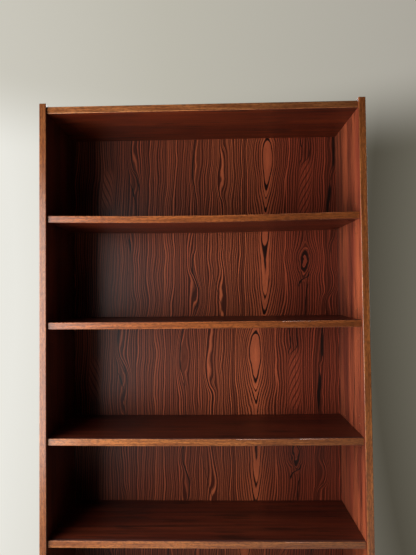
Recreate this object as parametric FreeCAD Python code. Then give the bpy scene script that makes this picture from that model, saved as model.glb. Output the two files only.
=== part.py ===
"""Free-standing bookcase with five adjustable shelves.

Two veneered side panels hold a fixed top and a fixed bottom panel on dowels. A thin back panel is screwed
into a rebate in the sides. Every board has a solid lipping on its front edge. Each loose shelf lies on
four turned pins, which push into blind holes in the sides and hide in notches under the shelf.

Millimetres. +X is the right of the bookcase seen from its front, +Y its back and +Z up. The origin is on
the floor, in the middle of the footprint.
"""
import FreeCAD, Part
import os

# Case
WIDTH = 850.0
DEPTH = 230.0
HEIGHT = 1800.0
BOARD = 18.0                # thickness of every veneered board
LIPPING = 8.0               # depth of the solid strips on the front edges
ARRIS = 1.5                 # radius on the long edges of the lippings and on the ends of the sides
SIDE_RISE = 7.5             # the sides stand this much above the top panel
FIXED_SETBACK = 5.0         # top and bottom panels, behind the front of the sides
PLINTH_HEIGHT = 87.0
PLINTH_SETBACK = 30.0
GLUE_BLOCK = 24.0           # short sides of the triangular blocks behind the plinth
GLUE_BLOCK_LENGTH = 90.0
GLUE_BLOCK_SPACING = 260.0

# Back panel
BACK = 6.0
BACK_RECESS = 7.0           # from the back edge of the sides
BACK_CLEARANCE = 0.5        # on each side of the panel in its rebates
REBATE = 10.0               # how far the rebates reach into the sides
SCREW_LENGTH = 16.0
SCREW_RADIUS = 1.5
SCREW_HEAD_RADIUS = 3.4
SCREW_HEAD_HEIGHT = 2.1
SCREW_SLOT = 0.8
SCREW_PITCH_UP = 300.0
SCREWS_UP = 6
SCREW_PITCH_ACROSS = 200.0
SCREWS_ACROSS = 4
PILOT_CLEARANCE = 0.05
THROUGH_CLEARANCE = 0.2

# Dowels between the sides and the fixed boards
DOWEL_RADIUS = 4.0
DOWEL_IN_SIDE = 12.0
DOWEL_IN_PANEL = 23.0
DOWEL_BEVEL = 1.0
DOWEL_PITCH = 65.0
GLUE_GAP = 0.1
HOLE_END_GAP = 1.0          # free depth behind the tip of a dowel or a pin

# Loose shelves, counted from the top
SHELF_SPACING = 280.0
SHELF_HOLE_STEPS = (0, 0, -1, 0, 0)       # holes above the middle one of each group
SHELF_SAGS = (5.0, 1.0, 2.0, 1.0, 1.0)    # how far the middle of each shelf has sunk
SHELF_SETBACK = 8.0
SHELF_END_GAP = 1.0
SHELF_BACK_GAP = 2.0

# Shelf pins and their holes
PIN_RADIUS = 2.0
PIN_LENGTH = 9.5            # of the thin end in its hole
PIN_HEAD_RADIUS = 3.0
PIN_HEAD_LENGTH = 9.0
PIN_BEVEL = 0.6
PIN_CLEARANCE = 0.05
PIN_INSET = 40.0            # hole columns, from the front of the sides and from the back panel
HOLE_PITCH = 20.0
HOLES_EACH_WAY = 2          # above and below the middle hole of a group
NOTCH_WIDTH = 9.0
NOTCH_HEIGHT = 7.0
NOTCH_LENGTH = 21.0

# Places that follow from the sizes above
INNER_X = WIDTH / 2 - BOARD
FRONT_Y = -DEPTH / 2
GLUE_LINE_Y = FRONT_Y + LIPPING
FIXED_FRONT_Y = FRONT_Y + FIXED_SETBACK
SHELF_FRONT_Y = FRONT_Y + SHELF_SETBACK
PLINTH_Y = FRONT_Y + PLINTH_SETBACK
REAR_Y = DEPTH / 2
BACK_FACE_Y = REAR_Y - BACK_RECESS - BACK
TOP_Z = HEIGHT - SIDE_RISE
BOTTOM_Z = PLINTH_HEIGHT + BOARD
PIN_COLUMNS = {"front": FRONT_Y + PIN_INSET, "back": BACK_FACE_Y - PIN_INSET}
PIN_BELOW_TOP = BOARD - NOTCH_HEIGHT + PIN_HEAD_RADIUS    # pin axis below the upper face of its shelf

RIGHT = FreeCAD.Vector(1, 0, 0)
BACKWARDS = FreeCAD.Vector(0, 1, 0)
UP = FreeCAD.Vector(0, 0, 1)
CENTRE = FreeCAD.Vector(0, 0, 0)


def block(x_span, y_span, z_span):
    """A box between three (low, high) pairs."""
    sizes = [high - low for low, high in (x_span, y_span, z_span)]
    return Part.makeBox(*sizes, FreeCAD.Vector(x_span[0], y_span[0], z_span[0]))


def turned(outline, place, axis):
    """A solid of revolution. Its outline is a list of (distance along the axis, radius)."""
    points = [FreeCAD.Vector(radius, 0, along) for along, radius in outline]
    face = Part.Face(Part.makePolygon(points + points[:1]))
    solid = face.revolve(CENTRE, UP, 360)
    solid.Placement = FreeCAD.Placement(place, FreeCAD.Rotation(UP, axis))
    return solid


def rounded(shape, radius, chosen):
    """The shape with a radius on the edges whose bounding box passes the test."""
    edges = [edge for edge in shape.Edges if chosen(edge.BoundBox)]
    return shape.makeFillet(radius, edges)


def on_left(shape):
    """The same piece on the left side of the bookcase."""
    return shape.mirror(CENTRE, RIGHT)


def ahead_of(y):
    """A test that passes the edges that reach in front of the plane at y."""
    return lambda box: box.YMin < y - ARRIS / 2


def behind(y):
    """A test that passes the edges that reach behind the plane at y."""
    return lambda box: box.YMax > y + ARRIS / 2


def long_front_edge(y):
    """A test that passes the edges that run along X in the front face at y."""
    return lambda box: box.YMax < y + ARRIS / 2 and box.XLength > WIDTH / 2


# Positions that more than one piece needs

def middle_hole_height(number):
    """Axis height of the middle pin hole for a shelf."""
    places_up = len(SHELF_HOLE_STEPS) - number + 1
    return BOTTOM_Z + places_up * SHELF_SPACING - PIN_BELOW_TOP


def pin_height(number):
    """Axis height of the four pins under a shelf."""
    return middle_hole_height(number) + SHELF_HOLE_STEPS[number - 1] * HOLE_PITCH


def shelf_height(number):
    """Height of the upper face of a shelf at its ends."""
    return pin_height(number) + PIN_BELOW_TOP


def panel_dowel_depths():
    """Y of the dowels in each end of the top and bottom panels."""
    middle = (FIXED_FRONT_Y + BACK_FACE_Y) / 2
    return [middle + step * DOWEL_PITCH for step in (-1, 0, 1)]


def plinth_dowel_heights():
    """Z of the dowels in each end of the plinth board."""
    return [PLINTH_HEIGHT * share for share in (0.3, 0.7)]


def dowel_places():
    """(y, z) of every dowel in one side panel."""
    panels = [(y, z) for z in (TOP_Z - BOARD / 2, BOTTOM_Z - BOARD / 2) for y in panel_dowel_depths()]
    plinth = [(PLINTH_Y + BOARD / 2, z) for z in plinth_dowel_heights()]
    return panels + plinth


def side_screw_heights():
    """Z of the back panel screws that go into each side."""
    middle = (TOP_Z + PLINTH_HEIGHT) / 2
    return [middle + (step - (SCREWS_UP - 1) / 2) * SCREW_PITCH_UP for step in range(SCREWS_UP)]


def cross_screw_places():
    """(x, z) of the back panel screws that go into the top and bottom panels."""
    across = [(step - (SCREWS_ACROSS - 1) / 2) * SCREW_PITCH_ACROSS for step in range(SCREWS_ACROSS)]
    return [(x, z) for z in (TOP_Z - BOARD / 2, BOTTOM_Z - BOARD / 2) for x in across]


def screw_places():
    """(x, z) of all back panel screws."""
    side_x = INNER_X + REBATE / 2
    sides = [(x, z) for x in (-side_x, side_x) for z in side_screw_heights()]
    return sides + cross_screw_places()


def dowel_holes(x_inner, direction, depth, places):
    """Bores for dowels, from the joint face at x_inner into the wood."""
    radius = DOWEL_RADIUS + GLUE_GAP
    axis = RIGHT * direction
    return [Part.makeCylinder(radius, depth, FreeCAD.Vector(x_inner, y, z), axis) for y, z in places]


def screw_pilots(places):
    """Pilot bores for screws, forwards from the front face of the back panel."""
    radius = SCREW_RADIUS + PILOT_CLEARANCE
    depth = SCREW_LENGTH - BACK + HOLE_END_GAP
    return [Part.makeCylinder(radius, depth, FreeCAD.Vector(x, BACK_FACE_Y, z), -BACKWARDS)
            for x, z in places]


# Case

def right_side_panel():
    """Right side behind its lipping, with a rebate for the back panel and bores on its inner face."""
    panel = block((INNER_X, WIDTH / 2), (GLUE_LINE_Y, REAR_Y), (0, HEIGHT))
    panel = rounded(panel, ARRIS, behind(GLUE_LINE_Y))
    rebate = block((INNER_X - ARRIS, INNER_X + REBATE), (BACK_FACE_Y, REAR_Y + ARRIS), (-ARRIS, TOP_Z))
    pins = [
        Part.makeCylinder(PIN_RADIUS + PIN_CLEARANCE, PIN_LENGTH + HOLE_END_GAP,
                          FreeCAD.Vector(INNER_X, y, middle_hole_height(number) + step * HOLE_PITCH), RIGHT)
        for number in range(1, len(SHELF_HOLE_STEPS) + 1)
        for step in range(-HOLES_EACH_WAY, HOLES_EACH_WAY + 1)
        for y in PIN_COLUMNS.values()
    ]
    dowels = dowel_holes(INNER_X, 1, DOWEL_IN_SIDE + HOLE_END_GAP, dowel_places())
    pilots = screw_pilots([(INNER_X + REBATE / 2, z) for z in side_screw_heights()])
    return panel.cut([rebate] + pins + dowels + pilots)


def right_side_lipping():
    """Solid strip on the front edge of the right side, rounded on every edge but those glued."""
    strip = block((INNER_X, WIDTH / 2), (FRONT_Y, GLUE_LINE_Y), (0, HEIGHT))
    return rounded(strip, ARRIS, ahead_of(GLUE_LINE_Y))


def fixed_panel(upper_z):
    """Top or bottom panel between the sides, behind its lipping."""
    front = FIXED_FRONT_Y + LIPPING
    panel = block((-INNER_X, INNER_X), (front, BACK_FACE_Y), (upper_z - BOARD, upper_z))
    middle_z = upper_z - BOARD / 2
    places = [(y, middle_z) for y in panel_dowel_depths()]
    depth = DOWEL_IN_PANEL + HOLE_END_GAP
    bores = dowel_holes(-INNER_X, 1, depth, places) + dowel_holes(INNER_X, -1, depth, places)
    pilots = screw_pilots([(x, z) for x, z in cross_screw_places() if z == middle_z])
    return panel.cut(bores + pilots)


def fixed_lipping(upper_z):
    """Solid strip on the front edge of the top or bottom panel."""
    front = FIXED_FRONT_Y
    strip = block((-INNER_X, INNER_X), (front, front + LIPPING), (upper_z - BOARD, upper_z))
    return rounded(strip, ARRIS, long_front_edge(front))


def plinth_board():
    """Upright board under the bottom panel, set back for the feet of whoever stands there."""
    board = block((-INNER_X, INNER_X), (PLINTH_Y, PLINTH_Y + BOARD), (0, PLINTH_HEIGHT))
    places = [(PLINTH_Y + BOARD / 2, z) for z in plinth_dowel_heights()]
    depth = DOWEL_IN_PANEL + HOLE_END_GAP
    return board.cut(dowel_holes(-INNER_X, 1, depth, places) + dowel_holes(INNER_X, -1, depth, places))


def plinth_glue_blocks():
    """Three triangular blocks glued into the corner between the plinth and the bottom panel."""
    corner_y = PLINTH_Y + BOARD
    blocks = []
    for step in (-1, 0, 1):
        start_x = step * GLUE_BLOCK_SPACING - GLUE_BLOCK_LENGTH / 2
        corners = [
            FreeCAD.Vector(start_x, corner_y, PLINTH_HEIGHT),
            FreeCAD.Vector(start_x, corner_y + GLUE_BLOCK, PLINTH_HEIGHT),
            FreeCAD.Vector(start_x, corner_y, PLINTH_HEIGHT - GLUE_BLOCK),
        ]
        face = Part.Face(Part.makePolygon(corners + corners[:1]))
        blocks.append(face.extrude(RIGHT * GLUE_BLOCK_LENGTH))
    return Part.makeCompound(blocks)


def back_panel():
    """Thin veneered sheet in the rebates, over the back edges of the top and bottom panels."""
    half = INNER_X + REBATE - BACK_CLEARANCE
    sheet = block((-half, half), (BACK_FACE_Y, BACK_FACE_Y + BACK), (PLINTH_HEIGHT, TOP_Z - BACK_CLEARANCE))
    radius = SCREW_RADIUS + THROUGH_CLEARANCE
    holes = [Part.makeCylinder(radius, BACK, FreeCAD.Vector(x, BACK_FACE_Y, z), BACKWARDS)
             for x, z in screw_places()]
    return sheet.cut(holes)


def back_panel_screws():
    """Round-head slotted screws with plain shanks, heads on the back of the back panel."""
    outline = [
        (-SCREW_LENGTH, 0),
        (-SCREW_LENGTH + 2 * SCREW_RADIUS, SCREW_RADIUS),
        (0, SCREW_RADIUS),
        (0, SCREW_HEAD_RADIUS),
        (SCREW_HEAD_HEIGHT / 2, SCREW_HEAD_RADIUS),
        (SCREW_HEAD_HEIGHT, SCREW_HEAD_RADIUS * 0.6),
        (SCREW_HEAD_HEIGHT, 0),
    ]
    seat_y = BACK_FACE_Y + BACK
    slot_y = (seat_y + SCREW_HEAD_HEIGHT / 2, seat_y + SCREW_HEAD_HEIGHT)
    screws = []
    for x, z in screw_places():
        screw = turned(outline, FreeCAD.Vector(x, seat_y, z), BACKWARDS)
        slot = block((x - SCREW_HEAD_RADIUS, x + SCREW_HEAD_RADIUS), slot_y,
                     (z - SCREW_SLOT / 2, z + SCREW_SLOT / 2))
        screws.append(screw.cut(slot))
    return Part.makeCompound(screws)


def carcass_dowels():
    """Bevelled hardwood dowels, each half hidden in a side and half in a fixed board."""
    outline = [
        (-DOWEL_IN_PANEL, 0),
        (-DOWEL_IN_PANEL, DOWEL_RADIUS - DOWEL_BEVEL),
        (-DOWEL_IN_PANEL + DOWEL_BEVEL, DOWEL_RADIUS),
        (DOWEL_IN_SIDE - DOWEL_BEVEL, DOWEL_RADIUS),
        (DOWEL_IN_SIDE, DOWEL_RADIUS - DOWEL_BEVEL),
        (DOWEL_IN_SIDE, 0),
    ]
    dowels = [turned(outline, FreeCAD.Vector(direction * INNER_X, y, z), RIGHT * direction)
              for direction in (-1, 1) for y, z in dowel_places()]
    return Part.makeCompound(dowels)


# Loose shelves and their pins

def sagging_board(number, y_span):
    """A board along X whose two faces are arcs, lowest in the middle."""
    half = INNER_X - SHELF_END_GAP
    upper = shelf_height(number)
    lower = upper - BOARD
    sag = SHELF_SAGS[number - 1]
    y = y_span[0]
    corners = [FreeCAD.Vector(x, y, z) for x, z in ((-half, lower), (half, lower), (half, upper), (-half, upper))]
    left_low, right_low, right_high, left_high = corners
    outline = Part.Wire([
        Part.Arc(left_low, FreeCAD.Vector(0, y, lower - sag), right_low).toShape(),
        Part.LineSegment(right_low, right_high).toShape(),
        Part.Arc(right_high, FreeCAD.Vector(0, y, upper - sag), left_high).toShape(),
        Part.LineSegment(left_high, left_low).toShape(),
    ])
    return Part.Face(outline).extrude(BACKWARDS * (y_span[1] - y))


def pin_notch(number, column_y, direction):
    """Space for one pin in the underside of a shelf, open downwards and at the end, round at its inside."""
    ceiling = shelf_height(number) - BOARD + NOTCH_HEIGHT
    bottom = ceiling - 2 * NOTCH_HEIGHT
    end_x = INNER_X - SHELF_END_GAP
    round_x = end_x - NOTCH_LENGTH + NOTCH_WIDTH / 2
    slot = block((round_x, INNER_X), (column_y - NOTCH_WIDTH / 2, column_y + NOTCH_WIDTH / 2), (bottom, ceiling))
    inside = Part.makeCylinder(NOTCH_WIDTH / 2, ceiling - bottom, FreeCAD.Vector(round_x, column_y, bottom), UP)
    notch = slot.fuse(inside)
    return notch if direction > 0 else on_left(notch)


def shelf_board(number):
    """Veneered board of a shelf with four notches in its underside."""
    board = sagging_board(number, (SHELF_FRONT_Y + LIPPING, BACK_FACE_Y - SHELF_BACK_GAP))
    notches = [pin_notch(number, y, direction) for y in PIN_COLUMNS.values() for direction in (-1, 1)]
    return board.cut(notches)


def shelf_lipping(number):
    """Solid strip on the front edge of a shelf."""
    strip = sagging_board(number, (SHELF_FRONT_Y, SHELF_FRONT_Y + LIPPING))
    return rounded(strip, ARRIS, long_front_edge(SHELF_FRONT_Y))


def shelf_pin(number, column_y, direction):
    """Turned metal pin: a thin end in the side and a thicker head under the shelf."""
    outline = [
        (-PIN_LENGTH, 0),
        (-PIN_LENGTH, PIN_RADIUS - PIN_BEVEL),
        (-PIN_LENGTH + PIN_BEVEL, PIN_RADIUS),
        (0, PIN_RADIUS),
        (0, PIN_HEAD_RADIUS),
        (PIN_HEAD_LENGTH - PIN_BEVEL, PIN_HEAD_RADIUS),
        (PIN_HEAD_LENGTH, PIN_HEAD_RADIUS - PIN_BEVEL),
        (PIN_HEAD_LENGTH, 0),
    ]
    return turned(outline, FreeCAD.Vector(direction * INNER_X, column_y, pin_height(number)), RIGHT * -direction)


def case_parts():
    """Node name and shape of every piece of the fixed case."""
    side = right_side_panel()
    strip = right_side_lipping()
    return {
        "left_side_panel": on_left(side),
        "right_side_panel": side,
        "left_side_lipping": on_left(strip),
        "right_side_lipping": strip,
        "top_panel": fixed_panel(TOP_Z),
        "top_lipping": fixed_lipping(TOP_Z),
        "bottom_panel": fixed_panel(BOTTOM_Z),
        "bottom_lipping": fixed_lipping(BOTTOM_Z),
        "plinth_board": plinth_board(),
        "plinth_glue_blocks": plinth_glue_blocks(),
        "back_panel": back_panel(),
        "back_panel_screws": back_panel_screws(),
        "carcass_dowels": carcass_dowels(),
    }


def shelf_parts(number):
    """Node name and shape of the board, the lipping and the four pins of a shelf."""
    parts = {
        f"shelf_{number}_board": shelf_board(number),
        f"shelf_{number}_lipping": shelf_lipping(number),
    }
    for column, y in PIN_COLUMNS.items():
        for side, direction in (("left", -1), ("right", 1)):
            parts[f"shelf_{number}_pin_{column}_{side}"] = shelf_pin(number, y, direction)
    return parts


def main():
    parts = case_parts()
    for number in range(1, len(SHELF_HOLE_STEPS) + 1):
        parts.update(shelf_parts(number))
    os.makedirs("parts", exist_ok=True)
    for name, shape in parts.items():
        shape.exportStep(f"parts/{name}.step")
        print(name, "valid" if shape.isValid() else "NOT VALID", len(shape.Solids), round(shape.Volume / 1000, 1))


main()
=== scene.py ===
"""Looks of the bookcase with adjustable shelves.

Metres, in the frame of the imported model: +X is the right of the bookcase seen from its front, +Y its back
and +Z up, with the origin on the floor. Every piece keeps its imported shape, and gets its wood or metal here.
"""
from collections import namedtuple
from math import pi, radians

import bpy
from mathutils import Matrix, Vector

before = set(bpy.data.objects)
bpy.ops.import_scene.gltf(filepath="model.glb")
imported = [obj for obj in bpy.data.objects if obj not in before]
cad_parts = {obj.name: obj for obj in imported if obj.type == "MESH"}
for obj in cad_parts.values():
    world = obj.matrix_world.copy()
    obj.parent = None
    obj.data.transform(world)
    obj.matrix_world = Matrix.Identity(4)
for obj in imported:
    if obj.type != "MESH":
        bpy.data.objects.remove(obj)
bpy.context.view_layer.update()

# Camera: a phone held 1.07 m in front of the case, a little above the second shelf
CAMERA_PLACE = (0.0392, -1.1869, 1.3102)
CAMERA_TURN = radians(1.36)
CAMERA_TILT = radians(1.48)
CAMERA_ROLL = radians(-0.61)
LENS_MM = 27.05

# Light: soft panels on the left, and lamps that reach only the back and the outside.
# Each has its place, the point it is turned to, its height and width, and its power in watts.
LAMPS = {
    "window": ((-1.3, -0.7, 1.12), (0.0, -0.7, 1.12), (1.2, 0.45), 12.8),
    "window_edge": ((-1.3, -0.25, 1.2), (0.0, -0.25, 1.2), (0.9, 0.26), 11.0),
    "window_front": ((-0.8, -0.9, 1.1), (0.0, -0.9, 1.1), (1.3, 0.9), 15.0),
    "window_far": ((-0.8, -1.95, 1.15), (0.0, -1.95, 1.15), (1.2, 1.1), 1.8),
    "rear_lamp": ((0.5, 2.4, 2.3), (0.0, 0.0, 1.0), (1.6, 1.6), 45.0),
    "right_lamp": ((2.6, 1.3, 1.7), (0.4, 0.1, 0.9), (1.6, 1.6), 30.0),
}
DAYLIGHT = (1.0, 0.985, 0.96)
AMBIENT = 0.006
AMBIENT_COLOUR = (0.95, 0.97, 1.0)

# Floor under the bookcase, and the two colours of its paint
FLOOR_SIDE = 2.4
FLOOR_FRONT = 3.0
FLOOR_REAR = 0.75
FLOOR_PAINT = ((0.60, 0.59, 0.56), (0.66, 0.65, 0.62))
FLOOR_ROUGHNESS = 0.6

# Backdrop, by how far to the right the line of sight points: at eye level, and well above it
# It paints light on a wall: pale on the left where light fell on it, and a painted shadow of the bookcase on
# the right at eye level.
BACKDROP_LEVEL = (
    (-0.44, (0.82, 0.81, 0.75)),
    (-0.20, (0.62, 0.60, 0.53)),
    (0.0, (0.40, 0.38, 0.32)),
    (0.34, (0.080, 0.072, 0.053)),
    (0.42, (0.130, 0.120, 0.092)),
)
BACKDROP_HIGH = (
    (-0.44, (0.60, 0.58, 0.51)),
    (-0.10, (0.50, 0.48, 0.41)),
    (0.42, (0.40, 0.38, 0.33)),
)
BACKDROP_RISE = (0.28, 0.44)      # how steeply the line of sight rises where one gives way to the other

# Colours of the woods and metals, linear. Where there are two, the tone wanders between them.
EARLY_WOOD = (0.75, 0.185, 0.070)
PLAIN_WOOD = (0.47, 0.105, 0.043)
RED_WOOD = (0.43, 0.068, 0.032)
LATE_WOOD_AND_SHADE = (0.072, 0.014, 0.007)
BLACK_VEIN = (0.008, 0.005, 0.004)
RIGHT_WOOD = ((0.64, 0.145, 0.056), (0.33, 0.060, 0.028))
# The left side's veneer is a shaded copy of the right side's: its darker tones are painted shade.
SHADED_LEFT_WOOD = ((0.25, 0.056, 0.026), (0.15, 0.030, 0.015))
# The undersides and the tops of the level boards are lit and shaded copies of one veneer: the darker tops are
# painted shade.
UNDERSIDE_WOOD = ((0.27, 0.041, 0.011), (0.17, 0.022, 0.006))
SHADED_SHELF_TOP_WOOD = ((0.20, 0.036, 0.014), (0.13, 0.020, 0.008))
LINE_WOOD_AND_SHADE = (0.022, 0.007, 0.005)
GOLDEN_LIPPING = (0.71, 0.275, 0.090)
RED_LIPPING = (0.65, 0.188, 0.046)
BROWN_LIPPING = (0.62, 0.212, 0.054)
LEFT_LIPPING = (0.43, 0.156, 0.048)
RED_STRIPE = (0.40, 0.105, 0.028)
LIPPING_STRIPE = (0.22, 0.055, 0.016)
LIPPING_PORE = (0.10, 0.026, 0.008)
CORE_WOOD = (0.46, 0.25, 0.12)
CORE_CHIP = (0.28, 0.13, 0.06)
PLY_WOOD = (0.33, 0.17, 0.085)
PLY_FLAME = (0.20, 0.09, 0.045)
BEECH_WOOD = ((0.60, 0.36, 0.19), (0.50, 0.28, 0.14))
BEECH_FLECK = (0.32, 0.16, 0.08)
STEEL = (0.58, 0.56, 0.53)
STEEL_MARK = (0.42, 0.40, 0.37)

# Roughness of the bare woods and metals
BEECH_ROUGHNESS = 0.6
SCREW_ROUGHNESS = 0.38
PIN_ROUGHNESS = 0.32

# Grain of the back panel
RINGS_PER_METRE = 147.0
REPEAT = 0.585                # height after which the figure of the veneer comes again
REPEAT_FOOT = 1.195           # height at which one repeat starts, behind the second shelf
EYE_RIDGE = 0.197             # the eyes lie along this line at the top of the panel
SWIRL_RIDGE = 0.318
EYE_REACH = 0.058             # a crest lifts the rings beside it, and no more at twice this distance
SWIRL_REACH = 0.046
EYE_WIDTH = 0.023             # rings are even and heavy round the eyes, and no more at twice this distance
KNOT_WIDTH = 0.020            # the same round the knot, to each side of it and up and down
KNOT_RISE = 0.050
KNOT_HEIGHT = 1.385           # the swirls close into a knot here, in the top repeat
RIDGE_BLEND = 0.8             # rings over which one ridge gives way to the other
WARP_PUSH = 0.026             # how far sideways slow waves, quick ones, and curls at the knot push the grain
FLUTTER_PUSH = 0.0042
CURL_PUSH = 0.018

# How far the figure has wandered to the left, by height
DRIFT = ((0.0, 0.115), (0.10, 0.094), (0.55, 0.084), (0.62, 0.055), (0.70, 0.048), (1.10, 0.045),
         (1.18, 0.043), (1.235, 0.016), (1.45, 0.011), (1.60, 0.006), (1.70, 0.0), (1.80, -0.001))

# Rings under the crest of each ridge, and how rounded the crest is, by height in the top repeat
EYE_CREST = ((1.195, -0.25), (1.205, -2.6), (1.232, -2.0), (1.28, -1.0), (1.33, -0.35), (1.42, 0.0),
             (1.488, 0.7), (1.50, -1.6), (1.51, -2.6), (1.548, -2.0), (1.587, -1.0), (1.618, 0.0),
             (1.66, 0.8), (1.70, 1.19), (1.72, 1.15), (1.75, 0.8), (1.772, 0.0), (1.78, -0.25))
EYE_ROUNDING = ((1.195, 0.006), (1.25, 0.008), (1.34, 0.012), (1.40, 0.014), (1.487, 0.013), (1.51, 0.004),
                (1.63, 0.006), (1.68, 0.013), (1.72, 0.019), (1.78, 0.014))
SWIRL_CREST = ((1.195, -1.5), (1.30, -1.5), (1.34, -1.1), (1.362, 0.0), (1.380, 0.5), (1.393, 0.65),
               (1.405, 0.5), (1.420, 0.0), (1.442, -1.1), (1.475, -1.5), (1.78, -1.5))
SWIRL_ROUNDING = ((1.195, 0.006), (1.34, 0.007), (1.39, 0.013), (1.44, 0.008), (1.78, 0.006))

# How much lower the eyes lie than the repeat says, by height on the panel
EYE_SHIFT = ((0.0, 0.0), (0.60, 0.0), (0.72, -0.018), (0.85, -0.005), (1.0, 0.008), (1.15, 0.013),
             (1.195, 0.013), (1.205, 0.0), (1.80, 0.0))

# Slanting strokes beside the swirls and near the left side, by height in the top repeat
Strokes = namedtuple("Strokes", "centre lean lowest highest")
STROKES = (
    Strokes(0.316, 1.0, 1.50, 1.725),
    Strokes(-0.300, -1.0, 1.54, 1.70),
)
STROKE_PITCH = 0.029
STROKE_SLOPE = 1.7            # rise over run in the middle of a stroke
STROKE_REACH = 0.019          # half the width of a band of strokes

# Black veins: across the panel, and half as wide, both by height in the top repeat. A strong vein also
# bends the grain beside it.
Vein = namedtuple("Vein", "line half_widths strong")
VEINS = {
    "pair": Vein(
        ((1.195, -0.024), (1.24, -0.014), (1.29, -0.007), (1.32, -0.012), (1.35, -0.022), (1.38, -0.028),
         (1.41, -0.025), (1.45, -0.017), (1.49, -0.018), (1.55, -0.018), (1.62, -0.025), (1.68, -0.035),
         (1.72, -0.033), (1.78, -0.026)),
        ((1.195, 0.0010), (1.28, 0.0016), (1.33, 0.0022), (1.38, 0.0018), (1.45, 0.0012), (1.60, 0.0012),
         (1.70, 0.0018), (1.78, 0.0014)),
        True,
    ),
    "wave": Vein(
        ((1.195, -0.204), (1.25, -0.204), (1.30, -0.212), (1.35, -0.214), (1.40, -0.217), (1.45, -0.222),
         (1.487, -0.226), (1.51, -0.200), (1.60, -0.198), (1.645, -0.205), (1.67, -0.214), (1.70, -0.225),
         (1.73, -0.228), (1.78, -0.228)),
        ((1.195, 0.0006), (1.28, 0.0006), (1.40, 0.0008), (1.455, 0.0026), (1.475, 0.0010), (1.60, 0.0010),
         (1.65, 0.0018), (1.68, 0.0010), (1.74, 0.0019), (1.78, 0.0012)),
        True,
    ),
    "wave_branch": Vein(
        ((1.195, -0.216), (1.30, -0.222), (1.45, -0.230), (1.487, -0.230), (1.51, -0.206), (1.57, -0.208),
         (1.60, -0.214), (1.615, -0.218), (1.66, -0.232), (1.70, -0.236), (1.78, -0.236)),
        ((1.195, 0.0004), (1.45, 0.0004), (1.56, 0.0009), (1.595, 0.0012), (1.613, 0.0026), (1.635, 0.0009),
         (1.66, 0.0008), (1.69, 0.0), (1.78, 0.0)),
        False,
    ),
    "fall": Vein(
        ((1.195, 0.066), (1.24, 0.079), (1.30, 0.077), (1.35, 0.072), (1.39, 0.066), (1.43, 0.063),
         (1.49, 0.064), (1.55, 0.065), (1.60, 0.054), (1.66, 0.045), (1.70, 0.047), (1.78, 0.052)),
        ((1.195, 0.0006), (1.45, 0.0007), (1.56, 0.0010), (1.62, 0.0006), (1.78, 0.0005)),
        True,
    ),
    "second_fall": Vein(
        ((1.195, 0.050), (1.24, 0.063), (1.28, 0.055), (1.33, 0.043), (1.37, 0.033), (1.43, 0.029),
         (1.60, 0.029), (1.78, 0.029)),
        ((1.195, 0.0008), (1.24, 0.0009), (1.33, 0.0007), (1.40, 0.0004), (1.46, 0.0), (1.78, 0.0)),
        False,
    ),
    "streak": Vein(
        ((1.195, 0.385), (1.25, 0.381), (1.28, 0.385), (1.33, 0.405), (1.38, 0.397), (1.43, 0.397),
         (1.487, 0.410), (1.51, 0.390), (1.55, 0.388), (1.60, 0.392), (1.65, 0.394), (1.69, 0.400),
         (1.78, 0.400)),
        ((1.195, 0.0006), (1.40, 0.0010), (1.50, 0.0010), (1.55, 0.0040), (1.60, 0.0046), (1.645, 0.0010),
         (1.68, 0.0014), (1.70, 0.0034), (1.78, 0.0028)),
        True,
    ),
    "swirl_left": Vein(
        ((1.195, 0.300), (1.66, 0.296), (1.70, 0.298), (1.725, 0.304), (1.75, 0.301), (1.78, 0.296)),
        ((1.195, 0.0), (1.66, 0.0), (1.69, 0.0008), (1.72, 0.0016), (1.78, 0.0012)),
        False,
    ),
    "swirl_right": Vein(
        ((1.195, 0.300), (1.67, 0.298), (1.70, 0.311), (1.73, 0.325), (1.755, 0.324), (1.78, 0.318)),
        ((1.195, 0.0), (1.66, 0.0), (1.69, 0.0008), (1.72, 0.0014), (1.78, 0.0010)),
        False,
    ),
    "swirl_hook": Vein(
        ((1.195, 0.303), (1.305, 0.300), (1.325, 0.304), (1.338, 0.317), (1.352, 0.331), (1.366, 0.328),
         (1.78, 0.328)),
        ((1.195, 0.0), (1.302, 0.0), (1.315, 0.0016), (1.335, 0.0030), (1.352, 0.0020), (1.368, 0.0),
         (1.78, 0.0)),
        False,
    ),
    "swirl_tail": Vein(
        ((1.195, 0.322), (1.25, 0.322), (1.30, 0.324), (1.34, 0.330), (1.45, 0.330), (1.78, 0.330)),
        ((1.195, 0.0008), (1.25, 0.0014), (1.30, 0.0016), (1.325, 0.0004), (1.34, 0.0), (1.78, 0.0)),
        False,
    ),
}
VEIN_PULL = 0.016             # how far from a vein the grain beside it still follows its bends

# Grain of the sides, the level boards and the plinth
STRAIGHT_RINGS = 210.0        # rings per metre
SIDE_SEED = 0.37              # where in the noise a board's own grain starts
UNDERSIDE_SEED = 0.58
SHELF_TOP_SEED = 0.21
SIDE_BANDS = 42.0             # dark bands per metre
LEVEL_BANDS = 75.0
PORE_RELIEF = 0.0001          # depth of the pores, and of those in the polished strips
LIPPING_RELIEF = 0.00004
VENEER_GLOSS = (0.34, 0.44)   # roughness of the lacquer, on the wood and over the pores


class Value:
    """A number that a material works out at every point of a surface, written like ordinary arithmetic."""

    def __init__(self, graph, socket):
        self.graph = graph
        self.socket = socket

    def __add__(self, other):
        return self.graph.math("ADD", self, other)

    def __sub__(self, other):
        return self.graph.math("SUBTRACT", self, other)

    def __rsub__(self, other):
        return self.graph.math("SUBTRACT", other, self)

    def __mul__(self, other):
        return self.graph.math("MULTIPLY", self, other)

    def __truediv__(self, other):
        return self.graph.math("DIVIDE", self, other)

    def __abs__(self):
        return self.graph.math("ABSOLUTE", self)

    __radd__ = __add__
    __rmul__ = __mul__


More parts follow.
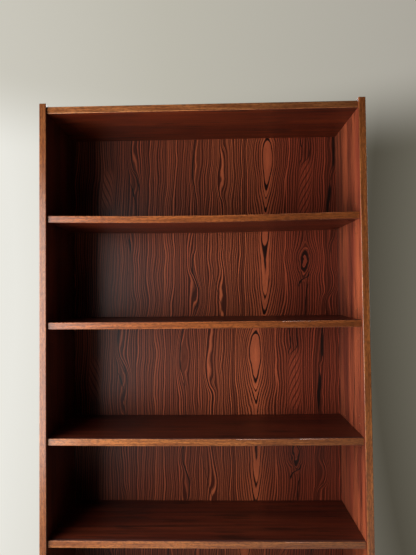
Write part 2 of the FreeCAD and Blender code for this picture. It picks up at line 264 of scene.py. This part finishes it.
class Graph:
    """The nodes of one material, added one at a time."""

    def __init__(self, name):
        self.material = bpy.data.materials.new(name)
        self.material.use_nodes = True
        self.tree = self.material.node_tree
        self.tree.nodes.clear()
        place = self.node("TexCoord")
        split = self.node("SeparateXYZ")
        self.tree.links.new(place.outputs["Object"], split.inputs[0])
        self.x, self.y, self.z = (Value(self, socket) for socket in split.outputs)
        self.places = {"x": self.x, "y": self.y, "z": self.z}
        facing = self.node("SeparateXYZ")
        self.tree.links.new(place.outputs["Normal"], facing.inputs[0])
        self.facing = {axis: Value(self, socket) for axis, socket in zip("xyz", facing.outputs)}

    def node(self, kind, **settings):
        """Adds a shader node of one kind, with its settings."""
        made = self.tree.nodes.new("ShaderNode" + kind)
        for name, setting in settings.items():
            setattr(made, name, setting)
        return made

    def feed(self, socket, source):
        """Links a Value to a socket, or sets the socket to a plain number or colour."""
        if isinstance(source, Value):
            self.tree.links.new(source.socket, socket)
        elif isinstance(source, tuple) and len(source) == 3 and socket.type == "RGBA":
            socket.default_value = (*source, 1.0)
        else:
            socket.default_value = source

    def math(self, operation, *sources):
        """One operation on Values and plain numbers."""
        made = self.node("Math", operation=operation)
        for socket, source in zip(made.inputs, sources):
            self.feed(socket, source)
        return Value(self, made.outputs[0])

    def step(self, source, low, high):
        """0 where the source is at low or beyond, 1 at high or beyond, and smooth between them."""
        made = self.node("MapRange", interpolation_type="SMOOTHSTEP")
        for socket, setting in zip(made.inputs, (source, low, high, 0.0, 1.0)):
            self.feed(socket, setting)
        return Value(self, made.outputs[0])

    def between(self, source, low, high):
        """A number that goes from low to high as the source goes from 0 to 1."""
        return low + source * (high - low)

    def bump(self, offset, reach):
        """1 where the offset is 0, falling smoothly to 0 at a distance of about twice the reach."""
        share = offset / reach
        return self.math("EXPONENT", share * share * -1.0)

    def curve(self, source, points):
        """A smooth curve through given (source, result) points."""
        starts, results = zip(*points)
        low, high = min(results), max(results)
        made = self.node("FloatCurve")
        line = made.mapping.curves[0]
        spots = [((start - starts[0]) / (starts[-1] - starts[0]), (result - low) / (high - low))
                 for start, result in points]
        line.points[0].location = spots[0]
        line.points[1].location = spots[-1]
        for spot in spots[1:-1]:
            line.points.new(*spot)
        for point in line.points:
            point.handle_type = "AUTO_CLAMPED"
        made.mapping.update()
        self.feed(made.inputs["Value"], (source - starts[0]) / (starts[-1] - starts[0]))
        return self.between(Value(self, made.outputs[0]), low, high)

    def noise(self, place, scales, detail=2.0, roughness=0.5):
        """Soft noise from 0 to 1 over one number or a point. Scales: its cells per metre along each."""
        if isinstance(place, Value):
            made = self.node("TexNoise", noise_dimensions="1D")
            self.feed(made.inputs["W"], place * scales)
        else:
            made = self.node("TexNoise")
            joined = self.node("CombineXYZ")
            for socket, along, scale in zip(joined.inputs, place, scales):
                self.feed(socket, along * scale)
            self.tree.links.new(joined.outputs[0], made.inputs["Vector"])
        made.inputs["Scale"].default_value = 1.0
        made.inputs["Detail"].default_value = detail
        made.inputs["Roughness"].default_value = roughness
        return Value(self, made.outputs["Fac"])

    def wander(self, across, along, scales, detail=1.0):
        """Soft noise over two directions, from -0.5 to 0.5."""
        return self.noise((across, along), scales, detail=detail) - 0.5

    def mix(self, share, first, second):
        """The first colour where the share is 0 and the second where it is 1."""
        made = self.node("Mix", data_type="RGBA")
        for name, source in (("Factor", share), ("A", first), ("B", second)):
            sockets = [socket for socket in made.inputs if socket.name == name and socket.enabled]
            self.feed(sockets[0], source)
        outputs = [socket for socket in made.outputs if socket.enabled]
        return Value(self, outputs[0])

    def surface(self, colour, roughness, metallic=0.0, specular=0.5, relief=None, relief_height=0.0002):
        """Ends the material in one Principled shader."""
        shader = self.node("BsdfPrincipled")
        self.feed(shader.inputs["Base Color"], colour)
        self.feed(shader.inputs["Roughness"], roughness)
        shader.inputs["Metallic"].default_value = metallic
        shader.inputs["Specular IOR Level"].default_value = specular
        if relief is not None:
            made = self.node("Bump")
            made.inputs["Strength"].default_value = 1.0
            made.inputs["Distance"].default_value = relief_height
            self.feed(made.inputs["Height"], relief)
            self.tree.links.new(made.outputs[0], shader.inputs["Normal"])
        output = self.node("OutputMaterial")
        self.tree.links.new(shader.outputs[0], output.inputs["Surface"])
        return self.material


# Woods

def pores(graph, across, along, depth):
    """Short fine strokes along the grain."""
    return graph.noise((across, depth, along), (1400.0, 600.0, 55.0), detail=1.0)


def ring_lines(graph, rings, thickness):
    """Dark lines at whole numbers of rings: 1 on a line and 0 between the lines."""
    part = graph.math("FRACT", rings + 0.5)
    distance = abs(part - 0.5)
    return graph.step(distance, thickness + 0.14, thickness - 0.04)


def ridge(graph, across, height, centre, reach, rounding, crest):
    """Rings over a ridge in the grain: arches that close where its crest sinks, and straight grain beyond."""
    away = across - centre
    curb = graph.curve(height, rounding)
    distance = graph.math("SQRT", away * away + curb * curb)
    lift = graph.curve(height, crest) + curb * RINGS_PER_METRE
    return distance * RINGS_PER_METRE - lift * graph.bump(away, reach)


def veins(graph, across, height):
    """The black veins, and how far they push the grain beside them out of its line."""
    bend = 0.0
    black = 0.0
    for vein in VEINS.values():
        centre = graph.curve(height, vein.line)
        away = across - centre
        half = graph.curve(height, vein.half_widths)
        black = graph.math("MAXIMUM", black, graph.step(abs(away), half + 0.0006, half - 0.0008))
        if vein.strong:
            middle = sum(spot for _, spot in vein.line) / len(vein.line)
            bend = bend + (centre - middle) * graph.bump(away, VEIN_PULL)
    return black, bend


def strokes(graph, across, height):
    """Steep strokes in bands, upright at both edges of their band: the dark lines, and where they show."""
    dark = 0.0
    shown = 0.0
    for band in STROKES:
        share = (across - band.centre) / STROKE_REACH
        rise = share * (1.0 + share * share * 0.5) * (STROKE_SLOPE * STROKE_REACH * band.lean)
        window = graph.step(abs(share), 1.45, 0.65)
        window = window * graph.step(height, band.lowest, band.lowest + 0.05)
        window = window * graph.step(height, band.highest, band.highest - 0.05)
        rings = (height - rise) / STROKE_PITCH
        broad = ring_lines(graph, rings, 0.13)
        narrow = ring_lines(graph, rings * 2.0, 0.05) * 0.6
        dark = graph.math("MAXIMUM", dark, graph.math("MAXIMUM", broad, narrow) * window)
        shown = graph.math("MAXIMUM", shown, window)
    return dark, shown


# Place in the figure of the back panel: across it without its drift, height in the top repeat, and from 0 to
# 1 how near the eyes, the knot and either of them are. Flutter is a small wander, from -0.5 to 0.5.
Figure = namedtuple("Figure", "straight height near_eyes near_knot crowded flutter")


def find_figure(graph):
    """Where a point lies in the figure of the back panel."""
    height = graph.math("WRAP", graph.z, REPEAT_FOOT + REPEAT, REPEAT_FOOT)
    straight = graph.x + graph.curve(graph.z, DRIFT)
    near_eyes = graph.bump(straight - EYE_RIDGE, EYE_WIDTH)
    near_knot = graph.bump(straight - SWIRL_RIDGE, KNOT_WIDTH) * graph.bump(height - KNOT_HEIGHT, KNOT_RISE)
    crowded = graph.math("MAXIMUM", near_eyes, near_knot * 0.8)
    flutter = graph.wander(straight, graph.z, (34.0, 18.0), detail=2.0)
    return Figure(straight, height, near_eyes, near_knot, crowded, flutter)


def count_rings(graph, figure, bend):
    """Growth rings, counted from the crests of the eyes and of the swirls, with the wander of real grain."""
    warp = graph.wander(figure.straight, graph.z, (15.0, 6.5))
    curl = graph.wander(figure.straight, graph.z, (62.0, 40.0))
    across = figure.straight - bend + warp * (1.0 - figure.near_eyes) * WARP_PUSH
    across = across + figure.flutter * FLUTTER_PUSH + curl * figure.near_knot * CURL_PUSH
    eye_level = figure.height + graph.curve(graph.z, EYE_SHIFT) + figure.flutter * figure.near_eyes * 0.016
    knot_level = figure.height + curl * figure.near_knot * 0.045
    eyes = ridge(graph, across, eye_level, EYE_RIDGE, EYE_REACH, EYE_ROUNDING, EYE_CREST)
    swirls = ridge(graph, across, knot_level, SWIRL_RIDGE, SWIRL_REACH, SWIRL_ROUNDING, SWIRL_CREST)
    return graph.math("SMOOTH_MIN", eyes, swirls, RIDGE_BLEND)


def draw_lines(graph, figure, rings, shifted):
    """Dark late wood of the rings: broad and narrow by turns, and heavier round the eyes and the knot."""
    age = graph.noise(shifted, 0.65, detail=2.0)
    blot = graph.wander(figure.straight, graph.z, (75.0, 26.0))
    beat = graph.math("COSINE", rings * pi)
    usual = graph.between(age, 0.12, 0.34)
    thickness = usual * (1.0 - figure.crowded) + (beat * 0.05 + blot * 0.34 + 0.09) * figure.crowded
    thickness = thickness + graph.bump(rings, 0.4) * (figure.near_knot * 0.34 + figure.near_eyes * 0.06)
    lines = ring_lines(graph, shifted, thickness) * graph.step(rings, -0.8, -0.4)
    weight = graph.step(graph.noise(shifted + 31.0, 0.9, detail=0.0), 0.25, 0.60) * 0.30 + 0.7
    return lines * graph.math("MAXIMUM", weight, figure.crowded * 0.95)


def bold_ground(graph, figure, shifted, shown):
    """Colour between the lines: painted light right of the middle, redder to the right, and painted shade low
    down.
    """
    fine = graph.step(graph.noise(shifted, 3.1, detail=1.0), 0.42, 0.58) * (1.0 - shown * 0.5)
    glow = graph.step(graph.noise(shifted + 7.0, 0.85, detail=1.0), 0.40, 0.62)
    tone = graph.step(graph.noise((graph.x, graph.z), (16.0, 2.5), detail=3.0), 0.35, 0.65)
    # Painted light: a brighter patch right of the middle of the panel, where the light fell fullest.
    painted_light = graph.bump(graph.x - 0.09, 0.11)
    plain = graph.mix(glow * 0.5 + tone * 0.1 + painted_light * 0.5, PLAIN_WOOD, EARLY_WOOD)
    redder = graph.step(graph.x, 0.12, 0.30) * 0.75
    ground = graph.mix(redder * (1.0 - figure.near_eyes * 0.5), plain, RED_WOOD)
    # Painted shade: the panel darkens below about 0.98 m.
    ground = graph.mix(graph.step(graph.z, 0.98, 0.86) * 0.30, ground, LATE_WOOD_AND_SHADE)
    return graph.mix(fine * (1.0 - figure.near_eyes) * 0.8, ground, LATE_WOOD_AND_SHADE)


def bold_colour(graph, stroke):
    """Colour of rosewood veneer with upright grain and a bold figure, and how dark its lines are."""
    figure = find_figure(graph)
    black, bend = veins(graph, figure.straight, figure.height)
    rings = count_rings(graph, figure, bend)
    jitter = (graph.noise(rings, 0.8, detail=1.0) - 0.5) * 0.7
    shifted = rings + jitter * (1.0 - figure.crowded)
    dark, shown = strokes(graph, figure.straight + figure.flutter * 0.0022, figure.height)
    lines = draw_lines(graph, figure, rings, shifted) * (1.0 - shown) + dark * 0.8
    lined = graph.mix(lines, bold_ground(graph, figure, shifted, shown), LATE_WOOD_AND_SHADE)
    core = lines * graph.step(figure.near_eyes + figure.near_knot * 1.5, 0.5, 0.95) * 0.8
    veined = graph.mix(graph.math("MAXIMUM", black, core), lined, BLACK_VEIN)
    return graph.mix(graph.step(stroke, 0.52, 0.72) * 0.30, veined, LATE_WOOD_AND_SHADE), lines


def bold_veneer(name):
    """Back panel: rosewood with a bold figure in front, and plain plywood on its hidden rear face."""
    graph = Graph(name)
    stroke = pores(graph, graph.x, graph.z, graph.y)
    front, lines = bold_colour(graph, stroke)
    rear = graph.step(graph.facing["y"], -0.3, 0.3)
    colour = graph.mix(rear, front, plywood_colour(graph, stroke))
    roughness = graph.between(lines, 0.42, 0.36) + (stroke - 0.5) * 0.12
    return graph.surface(colour, roughness, specular=0.48, relief=stroke - lines * 0.4,
                         relief_height=PORE_RELIEF)


def plywood_colour(graph, stroke):
    """Plain brown rotary-cut veneer, for faces that nobody sees."""
    flame = graph.noise((graph.x, graph.z), (7.0, 1.3), detail=3.0)
    band = graph.step(graph.math("FRACT", flame * 9.0), 0.2, 0.9)
    return graph.mix(band * 0.35 + stroke * 0.25, PLY_WOOD, PLY_FLAME)


def core_colour(graph, across):
    """Pale core of a veneered board, seen on its ends."""
    chips = graph.noise((across, graph.y, graph.z), (260.0, 260.0, 260.0), detail=2.0)
    return graph.mix(graph.step(chips, 0.35, 0.7) * 0.6, CORE_WOOD, CORE_CHIP)


def straight_grain(graph, woods, along, across, seed, bands):
    """Colour of rosewood veneer with straight grain along one axis, and its pores."""
    run = graph.places[along]
    width = graph.places[across]
    place = width + seed
    sway = graph.wander(place, run, (7.0, 1.1))
    ripple = graph.wander(place, run, (45.0, 9.0))
    rings = (place + sway * 0.035 + ripple * 0.003) * STRAIGHT_RINGS
    age = graph.noise(rings, 0.37, detail=2.0)
    lines = ring_lines(graph, rings + age, graph.between(age, 0.0, 0.30))
    fine = graph.step(graph.noise(rings, 1.9, detail=2.0), 0.42, 0.62)
    broad = graph.step(graph.noise((place + sway * 0.02, run), (bands, 1.6), detail=3.0), 0.38, 0.62)
    tone = graph.noise((place, run), (14.0, 2.0), detail=3.0)
    ground = graph.mix(graph.step(tone, 0.35, 0.65), *woods)
    streak = graph.step(graph.noise((place + 3.0, run), (95.0, 7.0), detail=1.0), 0.56, 0.68)
    ground = graph.mix(fine * 0.30 + broad * 0.25 + streak * 0.45, ground, LINE_WOOD_AND_SHADE)
    lined = graph.mix(lines * graph.between(broad, 0.45, 0.95), ground, LINE_WOOD_AND_SHADE)
    stroke = pores(graph, width, run, place)
    return graph.mix(graph.step(stroke, 0.52, 0.72) * 0.25, lined, LINE_WOOD_AND_SHADE), stroke


def straight_veneer(name, woods, along, across, ends):
    """Veneered board, with painted shade towards the rear. Its core shows on faces that point along the ends'
    axes.
    """
    graph = Graph(name)
    colour, stroke = straight_grain(graph, woods, along, across, SIDE_SEED, SIDE_BANDS)
    # Painted shade: the board darkens towards the rear.
    colour = graph.mix(graph.step(graph.y, -0.07, 0.10) * 0.35, colour, LINE_WOOD_AND_SHADE)
    colour = graph.mix(end_faces(graph, ends), colour, core_colour(graph, graph.x))
    return graph.surface(colour, graph.between(stroke, *VENEER_GLOSS), relief=stroke,
                         relief_height=PORE_RELIEF)


def level_colour(graph):
    """Colour of a veneered level board, with painted shade on its tops and towards the right, and its pores.
    """
    below, stroke = straight_grain(graph, UNDERSIDE_WOOD, "x", "y", UNDERSIDE_SEED, LEVEL_BANDS)
    above, _ = straight_grain(graph, SHADED_SHELF_TOP_WOOD, "x", "y", SHELF_TOP_SEED, LEVEL_BANDS)
    # Tops take the shaded copy: painted shade.
    colour = graph.mix(graph.step(graph.facing["z"], -0.2, 0.2), below, above)
    # Painted shade: the boards darken towards the right, away from the light.
    return graph.mix(graph.step(graph.x, -0.05, 0.42) * 0.22, colour, LINE_WOOD_AND_SHADE), stroke


def level_veneer(name):
    """Veneered level board, with its core at both ends."""
    graph = Graph(name)
    colour, stroke = level_colour(graph)
    colour = graph.mix(end_faces(graph, "x"), colour, core_colour(graph, graph.x))
    return graph.surface(colour, graph.between(stroke, *VENEER_GLOSS), specular=0.35, relief=stroke,
                         relief_height=PORE_RELIEF)


def end_faces(graph, axes):
    """1 on faces that point along any of the axes, and 0 on the others."""
    share = 0.0
    for axis in axes:
        share = graph.math("MAXIMUM", share, graph.step(abs(graph.facing[axis]), 0.6, 0.8))
    return share


def striped_wood(graph, wood, along, across):
    """Colour of solid rosewood with fine stripes along one axis, and its pores."""
    run = graph.places[along]
    width = graph.places[across]
    sway = graph.wander(width, run, (20.0, 1.4))
    place = width + graph.y * 0.8 + sway * 0.012
    broad = graph.noise((place, run), (110.0, 1.2), detail=2.0)
    stripe = graph.noise((place, run), (230.0, 7.0), detail=2.0)
    fleck = graph.noise((place, run), (300.0, 75.0), detail=2.0, roughness=0.7)
    ground = graph.mix(graph.step(broad, 0.3, 0.7) * 0.6, wood, RED_STRIPE)
    striped = graph.mix(graph.step(stripe, 0.38, 0.62) * 0.65, ground, LIPPING_STRIPE)
    return graph.mix(graph.step(fleck, 0.44, 0.62) * 0.55, striped, LIPPING_PORE), fleck


def finish_lipping(graph, striped, fleck, sheet, veneered):
    """Ends the material of a strip, whose faces along the veneered axis carry its board's sheet of veneer."""
    covered = graph.step(abs(graph.facing[veneered]), 0.90, 0.97)
    colour = graph.mix(covered, striped, sheet)
    worn = graph.step(graph.facing["z"], 0.15, 0.5) * 0.4
    return graph.surface(colour, graph.between(fleck, 0.24, 0.34) + worn, specular=0.9, relief=fleck,
                         relief_height=LIPPING_RELIEF)


def level_lipping(name, wood):
    """Strip of a level board, darker to the right."""
    graph = Graph(name)
    striped, fleck = striped_wood(graph, wood, "x", "z")
    striped = graph.mix(graph.step(graph.x, 0.0, 0.36) * 0.40, striped, LIPPING_PORE)
    sheet, _ = level_colour(graph)
    return finish_lipping(graph, striped, fleck, sheet, "z")


def side_lipping(name, wood, woods):
    """Strip of a side panel. Woods: the two tones of the panel's veneer."""
    graph = Graph(name)
    striped, fleck = striped_wood(graph, wood, "z", "x")
    sheet, _ = straight_grain(graph, woods, "z", "y", SIDE_SEED, SIDE_BANDS)
    return finish_lipping(graph, striped, fleck, sheet, "x")


def beech(name):
    """Raw beech with short darker flecks."""
    graph = Graph(name)
    flecks = graph.noise((graph.x, graph.y, graph.z), (120.0, 900.0, 900.0), detail=2.0)
    tone = graph.noise((graph.x, graph.y, graph.z), (8.0, 60.0, 60.0), detail=2.0)
    ground = graph.mix(tone, *BEECH_WOOD)
    colour = graph.mix(graph.step(flecks, 0.55, 0.7) * 0.5, ground, BEECH_FLECK)
    return graph.surface(colour, BEECH_ROUGHNESS, relief=flecks, relief_height=PORE_RELIEF)


def steel(name, roughness):
    """Turned steel with faint tool marks."""
    graph = Graph(name)
    marks = graph.noise((graph.x, graph.y, graph.z), (2500.0, 900.0, 900.0), detail=2.0)
    colour = graph.mix(marks * 0.5, STEEL, STEEL_MARK)
    return graph.surface(colour, graph.between(marks, roughness - 0.06, roughness + 0.08), metallic=1.0,
                         relief=marks, relief_height=0.00002)


def dress(node, material):
    """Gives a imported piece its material."""
    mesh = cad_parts[node].data
    mesh.materials.clear()
    mesh.materials.append(material)


def special_materials():
    """Materials of the pieces that differ from the other boards, strips and pins, by their nodes."""
    red_strip = level_lipping("red_lipping", RED_LIPPING)
    wood = beech("beech")
    return {
        "back_panel": bold_veneer("back_veneer"),
        "back_panel_screws": steel("screw_steel", SCREW_ROUGHNESS),
        "left_side_panel": straight_veneer("left_veneer", SHADED_LEFT_WOOD, "z", "y", "y"),
        "left_side_lipping": side_lipping("left_lipping", LEFT_LIPPING, SHADED_LEFT_WOOD),
        "right_side_panel": straight_veneer("right_veneer", RIGHT_WOOD, "z", "y", "y"),
        "right_side_lipping": side_lipping("right_lipping", BROWN_LIPPING, RIGHT_WOOD),
        "plinth_board": straight_veneer("plinth_veneer", RIGHT_WOOD, "x", "z", "x"),
        "top_lipping": level_lipping("golden_lipping", GOLDEN_LIPPING),
        "shelf_1_lipping": red_strip,
        "shelf_2_lipping": red_strip,
        "plinth_glue_blocks": wood,
        "carcass_dowels": wood,
    }


def dress_everything():
    """Chooses the material of every piece by what it is made of."""
    special = special_materials()
    pin = steel("pin_steel", PIN_ROUGHNESS)
    brown_strip = level_lipping("brown_lipping", BROWN_LIPPING)
    level = level_veneer("level_veneer")
    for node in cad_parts:
        if node in special:
            dress(node, special[node])
        elif "_pin_" in node:
            dress(node, pin)
        elif "lipping" in node:
            dress(node, brown_strip)
        else:
            dress(node, level)


# Studio

def add_camera():
    """Camera in the viewer's place: level and facing the back panel, and then turned, tilted and rolled."""
    camera = bpy.data.objects.new("camera", bpy.data.cameras.new("camera"))
    camera.data.lens = LENS_MM
    turned = Matrix.Rotation(radians(90), 4, "X") @ Matrix.Rotation(CAMERA_TURN, 4, "Y")
    tilted = Matrix.Rotation(CAMERA_TILT, 4, "X") @ Matrix.Rotation(CAMERA_ROLL, 4, "Z")
    camera.matrix_world = Matrix.Translation(CAMERA_PLACE) @ turned @ tilted
    bpy.context.scene.collection.objects.link(camera)
    bpy.context.scene.camera = camera


def add_area_lamp(name, place, towards, size, power):
    """A rectangular lamp that shines from a place towards a point and isn't seen itself."""
    light = bpy.data.lights.new(name, "AREA")
    light.shape = "RECTANGLE"
    light.size, light.size_y = size
    light.energy = power
    light.color = DAYLIGHT
    lamp = bpy.data.objects.new(name, light)
    aim = Vector(towards) - Vector(place)
    lamp.matrix_world = Matrix.Translation(place) @ aim.to_track_quat("-Z", "Z").to_matrix().to_4x4()
    lamp.visible_camera = False
    bpy.context.scene.collection.objects.link(lamp)


def add_lights():
    """All the lamps of the studio."""
    for name, (place, towards, size, power) in LAMPS.items():
        add_area_lamp(name, place, towards, size, power)


def add_ramp(tree, source, stops):
    """Colours along a line of (place, colour) stops."""
    spread = tree.nodes.new("ShaderNodeMapRange")
    spread.inputs["From Min"].default_value = stops[0][0]
    spread.inputs["From Max"].default_value = stops[-1][0]
    tree.links.new(source, spread.inputs["Value"])
    ramp = tree.nodes.new("ShaderNodeValToRGB")
    made = ramp.color_ramp.elements
    while len(made) < len(stops):
        made.new(0.5)
    width = stops[-1][0] - stops[0][0]
    for stop, (place, colour) in zip(made, stops):
        stop.position = (place - stops[0][0]) / width
        stop.color = (*colour, 1.0)
    tree.links.new(spread.outputs["Result"], ramp.inputs["Fac"])
    return ramp.outputs["Color"]


def backdrop_colour(tree):
    """Colour by where the line of sight points: painted light, pale on the left and above, and a painted
    shadow of the bookcase, dark on the right.
    """
    place = tree.nodes.new("ShaderNodeTexCoord")
    split = tree.nodes.new("ShaderNodeSeparateXYZ")
    tree.links.new(place.outputs["Generated"], split.inputs[0])
    rise = tree.nodes.new("ShaderNodeMapRange")
    rise.interpolation_type = "SMOOTHSTEP"
    rise.inputs["From Min"].default_value, rise.inputs["From Max"].default_value = BACKDROP_RISE
    tree.links.new(split.outputs["Z"], rise.inputs["Value"])
    paint = tree.nodes.new("ShaderNodeMixRGB")
    tree.links.new(rise.outputs["Result"], paint.inputs["Fac"])
    tree.links.new(add_ramp(tree, split.outputs["X"], BACKDROP_LEVEL), paint.inputs["Color1"])
    tree.links.new(add_ramp(tree, split.outputs["X"], BACKDROP_HIGH), paint.inputs["Color2"])
    return paint.outputs[0]


def add_world():
    """Weak even light, and a backdrop that only the camera sees."""
    world = bpy.data.worlds.new("studio")
    bpy.context.scene.world = world
    world.use_nodes = True
    tree = world.node_tree
    tree.nodes.clear()
    seen = tree.nodes.new("ShaderNodeBackground")
    tree.links.new(backdrop_colour(tree), seen.inputs["Color"])
    felt = tree.nodes.new("ShaderNodeBackground")
    felt.inputs["Color"].default_value = (*AMBIENT_COLOUR, 1.0)
    felt.inputs["Strength"].default_value = AMBIENT
    path = tree.nodes.new("ShaderNodeLightPath")
    chosen = tree.nodes.new("ShaderNodeMixShader")
    tree.links.new(path.outputs["Is Camera Ray"], chosen.inputs[0])
    tree.links.new(felt.outputs[0], chosen.inputs[1])
    tree.links.new(seen.outputs[0], chosen.inputs[2])
    output = tree.nodes.new("ShaderNodeOutputWorld")
    tree.links.new(chosen.outputs[0], output.inputs["Surface"])


def add_floor():
    """A pale floor under the bookcase."""
    mesh = bpy.data.meshes.new("floor")
    spots = ((-FLOOR_SIDE, -FLOOR_FRONT), (FLOOR_SIDE, -FLOOR_FRONT), (FLOOR_SIDE, FLOOR_REAR),
             (-FLOOR_SIDE, FLOOR_REAR))
    corners = [(x, y, 0.0) for x, y in spots]
    mesh.from_pydata(corners, [], [(0, 1, 2, 3)])
    floor = bpy.data.objects.new("floor", mesh)
    graph = Graph("floor_paint")
    cloud = graph.noise((graph.x, graph.y), (1.5, 1.5), detail=2.0)
    mesh.materials.append(graph.surface(graph.mix(cloud, *FLOOR_PAINT), FLOOR_ROUGHNESS))
    bpy.context.scene.collection.objects.link(floor)


bpy.context.scene.view_settings.view_transform = "Standard"
add_camera()
add_lights()
add_world()
add_floor()
dress_everything()
